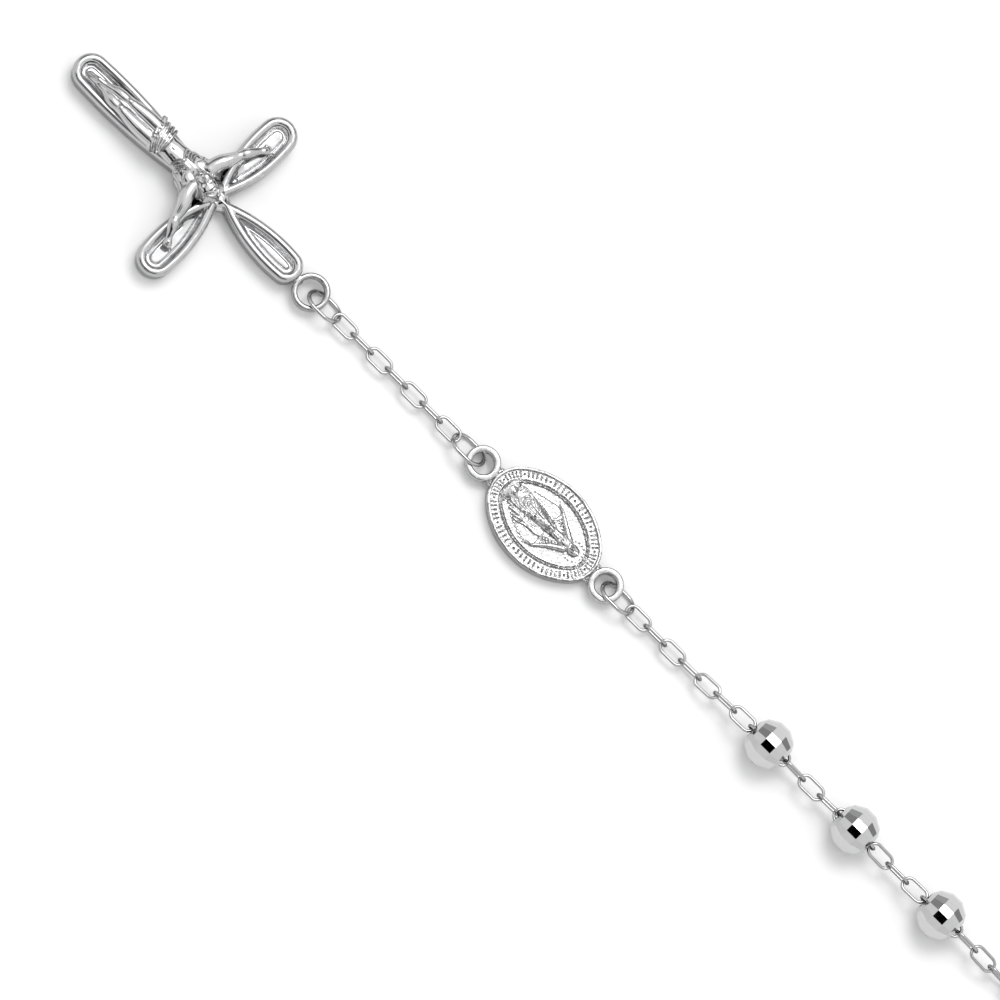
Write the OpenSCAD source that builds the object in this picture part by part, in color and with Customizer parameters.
// A rosary bracelet in white metal, laid flat: a crucifix, a medal and three beads on a short strand,
// which joins a closed wrist loop of ten beads. X runs along the strand, away from the crucifix, and Z is up.
// The origin is on the table, under the middle of the medal's back. All sizes are in millimetres.

/* [Cable chain] */
// Outside length of one cable link
link_len = 2.63; // [2.3:0.01:3.2]
// Outside width of one cable link
link_w = 1.43; // [1.3:0.01:1.7]
// Thickness of the link wire
link_wire = 0.26; // [0.2:0.02:0.32]
// Free play between one link and the next
link_play = 0.12; // [0.12:0.01:0.2]
// How far a link that stands on edge leans over, in degrees
edge_lean = 0; // [-20:1:20]

/* [Jump rings] */
// Outside length of an oval jump ring
jump_len = 3.5; // [3.2:0.1:4.2]
// Thickness of the jump ring wire
jump_wire = 0.34; // [0.26:0.02:0.4]
// Angle between a jump ring and the table
jump_tilt = 42; // [38:1:50]
// Room above and below the band that a jump ring holds
jump_play = 0.12; // [0.08:0.01:0.2]

/* [Beads] */
// Diameter of a bead across two opposite facets
bead_d = 3.95; // [3.4:0.05:5]
// Length of a bead between its two flat ends
bead_len = 3.5; // [3.2:0.05:3.6]
// Number of facets round a bead
bead_sides = 18; // [12, 14, 16, 18]
// How far a bead is turned about the chain, in degrees
bead_turn = 6; // [0:1:20]
// Room between the chain and the bore of a bead
bead_play = 0.12; // [0.1:0.01:0.15]
// Number of links from one bead to the next
links_per_bead = 5; // [4:1:7]
// How far the chain sags between two beads
bead_sag = 0.3; // [0:0.05:0.5]

/* [Strand] */
// Number of links between the crucifix and the medal
upper_links = 7; // [3:2:15]
// Number of links between the medal and the junction ring
lower_links = 24; // [24:2:40]
// Number of links between the medal and the first bead
links_to_bead = 8; // [6:1:10]
// Number of beads on the strand
strand_beads = 3; // [1:1:3]

/* [Wrist loop] */
// Length of the loop, measured along its chain and clasp
loop_len = 178; // [150:1:200]
// Number of beads on the loop
loop_beads = 10; // [4:1:10]
// Angle between the strand's line and each end of the loop
loop_angle = 55; // [45:1:65]
// Outside diameter of the junction ring
junction_d = 3.6; // [3.4:0.1:5]
// Thickness of the junction ring's wire
junction_wire = 0.42; // [0.34:0.02:0.5]

/* [Clasp] */
// Outside length of the clasp's closed claw
claw_len = 6.2; // [5.5:0.1:8]
// Outside width of the claw
claw_w = 3.6; // [3.2:0.1:4.5]
// Thickness of the claw's wire
claw_wire = 0.55; // [0.45:0.05:0.6]
// Thickness of the clasp's body along one side of the claw
clasp_body = 1.3; // [1:0.1:1.5]
// Outside diameter of the clasp's tail ring
tail_d = 2.4; // [2.2:0.1:3]

/* [Cross] */
// Length of the foot arm from the middle of the crossing
foot_len = 16.05; // [13:0.05:20]
// Length of the head arm from the middle of the crossing
head_len = 9.4; // [8:0.1:12]
// Length of each side arm from the middle of the crossing
side_len = 8.8; // [7.5:0.1:11]
// Width of the foot arm and the side arms near their ends
arm_w = 3.35; // [3:0.05:3.8]
// Width of the head arm near its end
head_w = 2.9; // [2.6:0.05:3.4]
// Width of the foot arm at the crossing
foot_root = 2.6; // [2.2:0.05:2.8]
// Width of a side arm at the crossing
side_root = 1.8; // [1.4:0.05:2.2]
// Width of the head arm at the crossing
head_root = 1.3; // [1.1:0.05:1.6]
// Thickness of the round rim along every arm
rim_wire = 0.84; // [0.7:0.02:0.9]
// Thickness of the cross from its back to the top of its rims
cross_h = 2.0; // [1.8:0.1:2.6]
// Depth of the recess inside the rims
recess = 0.66; // [0.5:0.02:0.7]
// Radius of the hollow corners between the foot arm and the side arms
flare_r = 2.6; // [1.5:0.1:3]
// Diameter of the hole in the bail ring
bail_hole = 2.26; // [2.1:0.02:2.8]
// Width of the bail ring's band
bail_wire = 0.5; // [0.4:0.02:0.6]
// Height of the flat bands of the bail ring and the medal's lug rings
band_h = 0.9; // [0.7:0.05:1]

/* [Figure] */
// Width of the figure's chest
chest_w = 2.4; // [2:0.05:2.8]
// Diameter of the figure's head
head_d = 1.56; // [1.3:0.02:1.8]
// Thickness of an arm at the shoulder
arm_d = 0.96; // [0.6:0.02:1]
// Thickness of a leg at the hip
leg_d = 1.0; // [0.8:0.02:1.2]
// Gap between the figure and the cross
seat_gap = 0.03; // [0.02:0.01:0.05]

/* [Medal] */
// Length of the medal along the strand, without its lug rings
medal_len = 11.16; // [9:0.02:14]
// Width of the medal
medal_w = 7.7; // [6.5:0.05:9]
// Thickness of the medal at its band
medal_h = 1.1; // [0.9:0.05:1.3]
// Width of the raised edge
edge_w = 0.22; // [0.15:0.01:0.3]
// Width of the band between the edge and the inner ridge
band_w = 0.8; // [0.6:0.02:0.9]
// Width of the inner ridge
ridge_w = 0.26; // [0.2:0.02:0.35]
// Height of the edge and the ridge above the band
rim_rise = 0.2; // [0.1:0.02:0.3]
// Depth of the field below the band
field_drop = 0.1; // [0.05:0.01:0.15]
// Height of the relief figure above the field
relief_h = 0.45; // [0.3:0.01:0.55]
// Number of strokes round the band
band_strokes = 52; // [32:2:60]
// Diameter of the hole in a lug ring
lug_hole = 1.8; // [1.7:0.05:2.2]
// Width of a lug ring's band
lug_wire = 0.65; // [0.45:0.05:0.7]

/* [Hidden] */
$fn = 28;
metal = "silver";
// Room below everything that doesn't rest on the table
floor_gap = 0.02;
// How far two soldered pieces run into each other
solder = 0.1;

// Widths and heights that follow from what has to pass through them, the width in steps of 0.02
held_h = max(band_h, junction_wire, claw_wire);
jump_w = ceil((jump_wire + (held_h + jump_wire + 2 * jump_play) / sin(jump_tilt)) / 0.02) * 0.02;
jump_rise = (jump_w - jump_wire) / 2 * sin(jump_tilt) + jump_wire / 2;
lie_z = max(link_w / 2, jump_rise, clasp_body / 2) + floor_gap;
rim_z = cross_h - rim_wire / 2;
floor_h = cross_h - recess;
bead_z = bead_d / 2 / cos(180 / bead_sides) + floor_gap;
bore_r = norm([link_w / 2, link_wire / 2]) + bead_play;
bail_d = bail_hole + 2 * bail_wire;
lug_d = lug_hole + 2 * lug_wire;

// Distance between the middles of two rings that hold each other, each given as its length and wire
function hold(a, b) = (a[0] / 2 - a[1]) + (b[0] / 2 - b[1]) - link_play;
link_size = [link_len, link_wire];
jump_size = [jump_len, jump_wire];
bail_size = [bail_d, bail_wire];
lug_size = [lug_d, lug_wire];
junction_size = [junction_d, junction_wire];
claw_size = [claw_len, claw_wire];
tail_size = [tail_d, junction_wire];
pitch = hold(link_size, link_size);

// The jump rings lie slack in the bail and the lugs, by these shares of the hole's radius
bail_slack = 0.73 * bail_hole / 2;
lug_slack_a = 0.62 * lug_hole / 2;
lug_slack_b = 0.85 * lug_hole / 2;

// Places along the strand
lug_x = medal_len / 2 + lug_d / 2 - solder / 2;
jump_a_x = -lug_x - hold(lug_size, jump_size) + lug_slack_a;
upper_x = jump_a_x - hold(jump_size, link_size) - (upper_links - 1) * pitch;
cross_jump_x = upper_x - hold(link_size, jump_size);
bail_x = cross_jump_x - hold(jump_size, bail_size) + bail_slack;
cross_x = bail_x - bail_d / 2 - head_len + solder;
jump_b_x = lug_x + hold(lug_size, jump_size) - lug_slack_b;
strand_x = jump_b_x + hold(jump_size, link_size) - pitch / 2;

// Heights of the joints between links: low at both ends, level through the beads, with a small sag between
ramp_links = 4;
SAG = [0, 0.25, 1];
function smooth(t) = t <= 0 ? 0 : t >= 1 ? 1 : t * t * (3 - 2 * t);
function sag_share(i) = SAG[min(i % links_per_bead, links_per_bead - i % links_per_bead, 2)];
function joint_z(j, first, beads) =
  let (
    last = first + (beads - 1) * links_per_bead,
    rise = smooth((j - (first - 1 - ramp_links)) / ramp_links),
    fall = smooth((last + 1 + ramp_links - j) / ramp_links),
    dip = j > first && j < last ? bead_sag * sag_share(j - first) : 0
  )
  lie_z + (bead_z - lie_z) * min(rise, fall) - dip;
// Distances along the route of every joint from the first, for a chain of the given number of links
function joint_u(links, first, beads) = [
  for (
    j = 0, u = 0;
    j <= links;
    u = u + sqrt(pow(pitch, 2) - pow(joint_z(j + 1, first, beads) - joint_z(j, first, beads), 2)), j = j + 1
  ) u
];

// The strand's joints
strand_u = joint_u(lower_links, links_to_bead, strand_beads);
junction_x = strand_x + strand_u[lower_links] - pitch / 2 + hold(link_size, junction_size);

// The loop: from the junction ring, round the wrist and back through the clasp
loop_start = hold(junction_size, link_size);
clasp_ring_v = hold(junction_size, jump_size);
claw_v = clasp_ring_v + hold(jump_size, claw_size);
tail_v = claw_v + claw_len / 2 + tail_d / 2 - claw_wire;
loop_end = tail_v + hold(tail_size, link_size);
loop_links = 2 * floor((loop_len - loop_start - loop_end) / pitch / 2) + 1;
loop_first = round((loop_links - (loop_beads - 1) * links_per_bead + (loop_end - loop_start) / pitch) / 2);
loop_u = joint_u(loop_links, loop_first, loop_beads);
loop_total = loop_start + loop_u[loop_links] - pitch + loop_end;
// The loop's path is two straight ends and one round arc
loop_r = loop_total / (2 / tan(loop_angle) + (180 + 2 * loop_angle) * PI / 180);
straight = loop_r / tan(loop_angle);
loop_x = junction_x + loop_r / sin(loop_angle);
// Place and heading at a distance u along the loop
function loop_place(u) =
  let (turn = (u - straight) / loop_r * 180 / PI)
  u < straight ? [junction_x + u * cos(loop_angle), u * sin(loop_angle), loop_angle]
  : u > loop_total - straight
    ? [junction_x + (loop_total - u) * cos(loop_angle), (u - loop_total) * sin(loop_angle), 180 - loop_angle]
  : [
      loop_x + loop_r * cos(90 + loop_angle - turn),
      loop_r * sin(90 + loop_angle - turn),
      loop_angle - turn
    ];

// Joints as points in space
strand_joints = [
  for (j = [0:lower_links]) [strand_x + strand_u[j], 0, joint_z(j, links_to_bead, strand_beads)]
];
loop_joints = [
  for (j = [0:loop_links])
    let (place = loop_place(loop_start - pitch / 2 + loop_u[j]))
    [place[0], place[1], joint_z(j, loop_first, loop_beads)]
];

// Part of a ring of round wire
module arc_tube(radius, wire, from, sweep) {
  rotate([0, 0, from]) rotate_extrude(angle = sweep) translate([radius, 0]) circle(d = wire);
}

// A round ring, given its outside diameter
module round_ring(diameter, wire) {
  rotate_extrude() translate([(diameter - wire) / 2, 0]) circle(d = wire);
}

// A flat ring of a band with bevelled edges, given its outside diameter
module band_ring(diameter, band) {
  bevel = band * 0.2;
  rotate_extrude() translate([(diameter - band) / 2, 0]) polygon([
    [-band / 2, -band_h / 2 + bevel],
    [-band / 2 + bevel, -band_h / 2],
    [band / 2 - bevel, -band_h / 2],
    [band / 2, -band_h / 2 + bevel],
    [band / 2, band_h / 2 - bevel],
    [band / 2 - bevel, band_h / 2],
    [-band / 2 + bevel, band_h / 2],
    [-band / 2, band_h / 2 - bevel]
  ]);
}

// An oval ring with two straight sides, lying flat
module oval_ring(length, width, wire) {
  bend = (width - wire) / 2;
  side = (length - width) / 2;
  for (end = [-1, 1]) {
    translate([end * side, 0, 0]) arc_tube(bend, wire, -90 * end, 180);
    translate([-side, end * bend, 0]) rotate([0, 90, 0]) cylinder(d = wire, h = 2 * side);
  }
}

// Sets its children halfway between two joints, along the line from one to the other, turned by roll
module between(a, b, roll) {
  d = b - a;
  translate((a + b) / 2)
    rotate([roll, -atan2(d[2], norm([d[0], d[1]])), atan2(d[1], d[0])])
      children();
}

// One link for each pair of neighbouring joints, with flat links and links on edge in turn
module cable_chain(joints, first_on_edge) {
  for (i = [0:len(joints) - 2])
    between(joints[i], joints[i + 1], i % 2 == first_on_edge ? 90 - edge_lean : 0)
      oval_ring(link_len, link_w, link_wire);
}

module jump_ring(x) {
  color(metal) translate([x, 0, lie_z]) rotate([-jump_tilt, 0, 0]) oval_ring(jump_len, jump_w, jump_wire);
}

module cross_jump_ring() jump_ring(cross_jump_x);
module medal_jump_ring_a() jump_ring(jump_a_x);
module medal_jump_ring_b() jump_ring(jump_b_x);

module upper_chain() {
  joints = [for (i = [0:upper_links]) [upper_x + (i - 0.5) * pitch, 0, lie_z]];
  color(metal) cable_chain(joints, 1);
}

module strand_chain() {
  color(metal) cable_chain(strand_joints, 1);
}

module loop_chain() {
  color(metal) cable_chain(loop_joints, 0);
}

module junction_ring() {
  color(metal) translate([junction_x, 0, lie_z]) round_ring(junction_d, junction_wire);
}

// A faceted bead: every facet touches one ball, in rows at 0, 30 and 60 degrees from its girdle
module bead_solid() {
  difference() {
    intersection() {
      intersection_for (i = [0:bead_sides / 2 - 1])
        rotate([bead_turn + i * 360 / bead_sides, 0, 0])
          linear_extrude(2 * bead_d, center = true)
            rotate(15) circle(bead_d / 2 / cos(15), $fn = 12);
      cube([bead_len, 2 * bead_d, 2 * bead_d], center = true);
    }
    rotate([0, 90, 0]) cylinder(r = bore_r, h = 2 * bead_d, center = true);
  }
}

// Beads are counted from the medal: the strand's come first, and then the loop's
module bead(n) {
  on_strand = n < strand_beads;
  on_loop = n >= 3 && n - 3 < loop_beads;
  if (on_strand)
    color(metal) translate(strand_joints[links_to_bead + n * links_per_bead]) bead_solid();
  if (on_loop) {
    j = loop_first + (n - 3) * links_per_bead;
    heading = loop_place(loop_start - pitch / 2 + loop_u[j])[2];
    color(metal) translate(loop_joints[j]) rotate([0, 0, heading]) bead_solid();
  }
}

// Sets its children on the loop's last stretch, at a distance v from the junction ring
module on_clasp_side(v) {
  translate([junction_x + v * cos(loop_angle), -v * sin(loop_angle), lie_z])
    rotate([0, 0, -loop_angle])
      children();
}

module clasp_ring() {
  color(metal) on_clasp_side(clasp_ring_v) rotate([-jump_tilt, 0, 0]) oval_ring(jump_len, jump_w, jump_wire);
}

// A closed claw with a thicker body along one side, and a tail ring soldered to its end
module clasp() {
  color(metal) on_clasp_side(claw_v) {
    oval_ring(claw_len, claw_w, claw_wire);
    translate([0, (claw_w - clasp_body) / 2, 0]) rotate([0, 90, 0])
      cylinder(d = clasp_body, h = claw_len - claw_w, center = true);
    for (end = [-1, 1])
      translate([end * (claw_len - claw_w) / 2, (claw_w - clasp_body) / 2, 0]) rotate([0, end * 90, 0])
        cylinder(d1 = clasp_body, d2 = claw_wire, h = clasp_body / 2);
    translate([tail_v - claw_v, 0, 0]) round_ring(tail_d, junction_wire);
  }
}

// The cross, with the middle of its crossing at x = 0 and its head arm along +X
// Arms: direction, length, width near the end, width at the crossing
ARMS = [
  [0, head_len, head_w, head_root],
  [90, side_len, arm_w, side_root],
  [180, foot_len, arm_w, foot_root],
  [270, side_len, arm_w, side_root]
];

// Outline of an arm: two straight edges and a round end, a hair wider so that the edges run into it
module arm_outline(length, end_r, root_r) {
  end_lap = 0.03;
  reach = length - end_r;
  lean = asin((end_r - root_r) / reach);
  polygon([
    for (side = [-1, 1]) [-root_r * sin(lean), side * root_r * cos(lean)],
    for (side = [1, -1]) [reach - end_r * sin(lean), side * end_r * cos(lean)]
  ]);
  translate([reach, 0]) circle(end_r + end_lap);
}

// The round rim that loops along both edges of an arm and round its end
// Its straight sides are a hair thinner, so that they end inside the round part
module arm_rim(length, end_r, root_r) {
  rail_wire = rim_wire - 0.04;
  reach = length - end_r;
  lean = asin((end_r - root_r) / reach);
  bend = end_r - rim_wire / 2;
  root = root_r - rim_wire / 2;
  translate([reach, 0, rim_z]) arc_tube(bend, rim_wire, -90 - lean, 180 + 2 * lean);
  for (side = [-1, 1])
    translate([-root * sin(lean), side * root * cos(lean), rim_z])
      rotate([0, 90, side * lean])
        cylinder(d = rail_wire, h = reach * cos(lean));
}

// The hollow corner between the foot arm and one side arm
module flare() {
  corner = [side_root / 2, foot_root / 2];
  difference() {
    translate(corner - [0.5, 0.5]) square(flare_r + 0.5);
    translate(corner + [flare_r, flare_r]) circle(flare_r);
  }
}

module cross_body() {
  inset = rim_wire * 0.12;
  hub_r = norm([side_root, head_root]) / 2 + inset;
  linear_extrude(floor_h)
    for (arm = ARMS)
      rotate(arm[0]) arm_outline(arm[1] - inset, arm[2] / 2 - inset, arm[3] / 2 - inset);
  // The middle and the hollow corners stand as high as the axis of the rims
  linear_extrude(rim_z + solder) {
    circle(hub_r);
    mirror([1, 0]) for (side = [0, 1]) mirror([0, side]) flare();
  }
  for (arm = ARMS) rotate([0, 0, arm[0]]) arm_rim(arm[1], arm[2] / 2, arm[3] / 2);
  // A ball joins the rims of the two side arms where they meet
  for (side = [-1, 1]) translate([side * (side_root - rim_wire) / 2, 0, rim_z]) sphere(d = rim_wire + 0.02);
  translate([bail_x - cross_x, 0, lie_z]) band_ring(bail_d, bail_wire);
  // Solder between the head arm and the bail ring
  translate([head_len - solder / 2, 0, lie_z])
    cube([bail_wire, bail_wire * 1.3, band_h * 0.8], center = true);
}

module cross() {
  color(metal) translate([cross_x, 0, 0]) cross_body();
}

// The figure, in the cross's own frame
seat_z = cross_h + seat_gap;

// A rounded form stretched over some balls, each given as its middle and its radius
module form(balls) {
  hull() for (ball = balls) translate([ball[0], ball[1], ball[2]]) sphere(ball[3], $fn = 16);
}

// Shoulders, chest, waist, hips and the loincloth with its knot
module torso() {
  chest_r = chest_w * 0.27;
  half = chest_w / 2 - chest_r;
  cloth_r = chest_w * 0.24;
  z = seat_z + chest_r * 0.3;
  shoulder = [for (side = [-1, 1]) [-foot_len * 0.125, side * chest_w * 0.56, z, arm_d * 0.5]];
  chest = [for (side = [-1, 1]) [-foot_len * 0.18, side * half, z, chest_r]];
  waist = [for (side = [-1, 1]) [-foot_len * 0.32, side * half * 0.85, z, chest_r * 0.82]];
  hips = [for (side = [-1, 1]) [-foot_len * 0.405, side * half * 0.95, z, cloth_r]];
  hem = [for (side = [-1, 1]) [-foot_len * 0.48, side * half * 1.05, z, cloth_r]];
  form(concat(shoulder, chest));
  form(concat(chest, waist));
  form(concat(waist, hips));
  form(concat(hips, hem));
  // The loincloth's upper fold, its knot and the end that hangs from it
  form([
    [-foot_len * 0.432, -chest_w * 0.4, z + cloth_r * 0.4, cloth_r * 0.55],
    [-foot_len * 0.408, chest_w * 0.4, z + cloth_r * 0.4, cloth_r * 0.55]
  ]);
  form([
    [-foot_len * 0.425, -chest_w * 0.4, z + cloth_r * 0.5, cloth_r * 0.6],
    [-foot_len * 0.51, -chest_w * 0.46, z, cloth_r * 0.36]
  ]);
}

// Head with long hair and a short beard, bowed and leaning a little to one side
module head() {
  r = head_d / 2;
  x = -foot_len * 0.05;
  z = seat_z + r * 0.88;
  lean = head_d * 0.14;
  form([[x, -lean, z, r], [x - head_d * 0.48, 0, z + r * 0.12, r * 0.66]]);
  form([[x - head_d * 0.48, 0, z + r * 0.1, r * 0.5], [x - head_d * 0.9, 0, z, r * 0.3]]);
  for (side = [-1, 1])
    form([
      [x, side * r * 0.5 - lean, z - r * 0.3, r * 0.7],
      [x - head_d * 0.8, side * r * 0.95 - lean * 0.5, z - r * 0.6, r * 0.34]
    ]);
  translate([x - head_d * 0.46, 0, z + r * 0.76]) sphere(r * 0.15, $fn = 16);
}

module arms() {
  r = arm_d / 2;
  for (side = [-1, 1]) {
    shoulder = [-foot_len * 0.125, side * chest_w * 0.56, seat_z + r * 0.9, r];
    elbow = [-side_root * 0.6, side * side_len * 0.4, seat_z + r * 0.8, r * 0.8];
    wrist = [-side_root * 0.1, side * side_len * 0.62, seat_z + r * 0.35, r * 0.52];
    finger = [side_root * 0.04, side * side_len * 0.72, seat_z - r * 0.15, r * 0.55];
    form([shoulder, elbow]);
    form([elbow, wrist]);
    form([wrist, finger]);
  }
}

module legs() {
  r = leg_d / 2;
  for (side = [-1, 1]) {
    hip = [-foot_len * 0.46, side * chest_w * 0.17, seat_z + r * 0.6, r];
    knee = [-foot_len * 0.73, side * r * 0.46, seat_z + r * 0.6, r * 0.72];
    ankle = [-foot_len * 0.875, side * r * 0.2, seat_z - r * 0.3, r * 0.42];
    toe = [-foot_len * 0.925, side * r * 0.12, seat_z - r * 0.55, r * 0.36];
    form([hip, knee]);
    form([knee, ankle]);
    form([ankle, toe]);
  }
}

module corpus() {
  // Everything but the hands, shins and feet lies above the rims
  reach = foot_len + head_len;
  color(metal) translate([cross_x, 0, 0]) {
    intersection() {
      union() {
        torso();
        head();
      }
      translate([-reach, -reach, seat_z]) cube([2 * reach, 2 * reach, reach]);
    }
    arms();
    legs();
  }
}

// An oval outline of two end arcs and two side arcs that touch each other
module oval(length, width) {
  a = length / 2;
  b = width / 2;
  end_r = b * 0.72;
  side_r = (a * a + b * b - 2 * a * end_r) / (2 * (b - end_r));
  end_x = a - end_r;
  side_y = side_r - b;
  touch_x = end_x + end_r * end_x / (side_r - end_r);
  intersection() {
    translate([0, side_y]) circle(side_r, $fn = 128);
    translate([0, -side_y]) circle(side_r, $fn = 128);
    square([2 * touch_x, width], center = true);
  }
  for (side = [-1, 1]) translate([side * end_x, 0]) circle(end_r);
}

module oval_wall(length, width, wall, height) {
  linear_extrude(height) difference() {
    oval(length, width);
    oval(length - 2 * wall, width - 2 * wall);
  }
}

// Lengths and widths of the medal's inner ovals
ridge_len = medal_len - 2 * (edge_w + band_w);
ridge_wide = medal_w - 2 * (edge_w + band_w);
field_len = ridge_len - 2 * ridge_w;
field_wide = ridge_wide - 2 * ridge_w;
field_z = medal_h - field_drop;

// Plain strokes that stand round the band in place of lettering
module strokes() {
  path_a = (medal_len + ridge_len) / 4 - edge_w / 2;
  path_b = (medal_w + ridge_wide) / 4 - edge_w / 2;
  for (i = [0:band_strokes - 1]) {
    t = (i + 0.5) * 360 / band_strokes;
    translate([path_a * cos(t), path_b * sin(t), medal_h - solder])
      rotate([0, 0, atan2(path_a * sin(t), path_b * cos(t))])
        translate([-band_w * 0.3, -edge_w * 0.3, 0])
          cube([band_w * 0.6, edge_w * 0.6, solder + rim_rise * 0.6]);
  }
}

// A round form that tapers from one point to another, with its lower part sunk in the field
module swell(a, ra, b, rb) {
  d = b - a;
  translate([a[0], a[1], field_z]) rotate([0, 90, atan2(d[1], d[0])]) cylinder(r1 = ra, r2 = rb, h = norm(d));
}

// The robed figure on the medal, its head towards +X: robe, cloak, head, arms, the ball under its feet and rays
module relief() {
  l = field_len / 2;
  w = field_wide / 2;
  swell([-l * 0.8, 0], w * 0.36, [l * 0.1, 0], w * 0.26);
  swell([-l * 0.05, 0], w * 0.27, [l * 0.62, 0], w * 0.2);
  swell([-l * 0.74, -w * 0.22], w * 0.22, [l * 0.1, -w * 0.3], w * 0.12);
  translate([l * 0.72, 0, field_z]) sphere(w * 0.19);
  translate([-l * 0.84, 0, field_z - w * 0.12]) sphere(w * 0.34);
  for (side = [-1, 1]) {
    swell([l * 0.56, side * w * 0.12], w * 0.12, [l * 0.04, side * w * 0.66], w * 0.09);
    for (i = [0:3])
      swell([-l * 0.04, side * w * (0.68 - i * 0.02)], 0.05, [-l * (0.6 - i * 0.06), side * w * (0.72 - i * 0.06)], 0.03);
  }
}

module medal() {
  color(metal) {
    linear_extrude(field_z) oval(medal_len, medal_w);
    oval_wall(medal_len, medal_w, edge_w, medal_h + rim_rise);
    oval_wall(ridge_len, ridge_wide, ridge_w, medal_h + rim_rise);
    oval_wall(medal_len - edge_w, medal_w - edge_w, band_w + edge_w / 2 + ridge_w / 2, medal_h);
    strokes();
    intersection() {
      relief();
      translate([0, 0, field_z - solder]) linear_extrude(relief_h + solder) oval(field_len, field_wide);
    }
    for (side = [-1, 1]) {
      translate([side * lug_x, 0, lie_z]) band_ring(lug_d, lug_wire);
      // Solder between the medal and the lug ring
      translate([side * (medal_len / 2 + solder / 2), 0, lie_z])
        cube([lug_wire, lug_hole, band_h * 0.8], center = true);
    }
  }
}

cross();
corpus();
cross_jump_ring();
upper_chain();
medal_jump_ring_a();
medal();
medal_jump_ring_b();
strand_chain();
bead(0);  // bead_01
bead(1);  // bead_02
bead(2);  // bead_03
junction_ring();
loop_chain();
bead(3);  // bead_04
bead(4);  // bead_05
bead(5);  // bead_06
bead(6);  // bead_07
bead(7);  // bead_08
bead(8);  // bead_09
bead(9);  // bead_10
bead(10);  // bead_11
bead(11);  // bead_12
bead(12);  // bead_13
clasp_ring();
clasp();
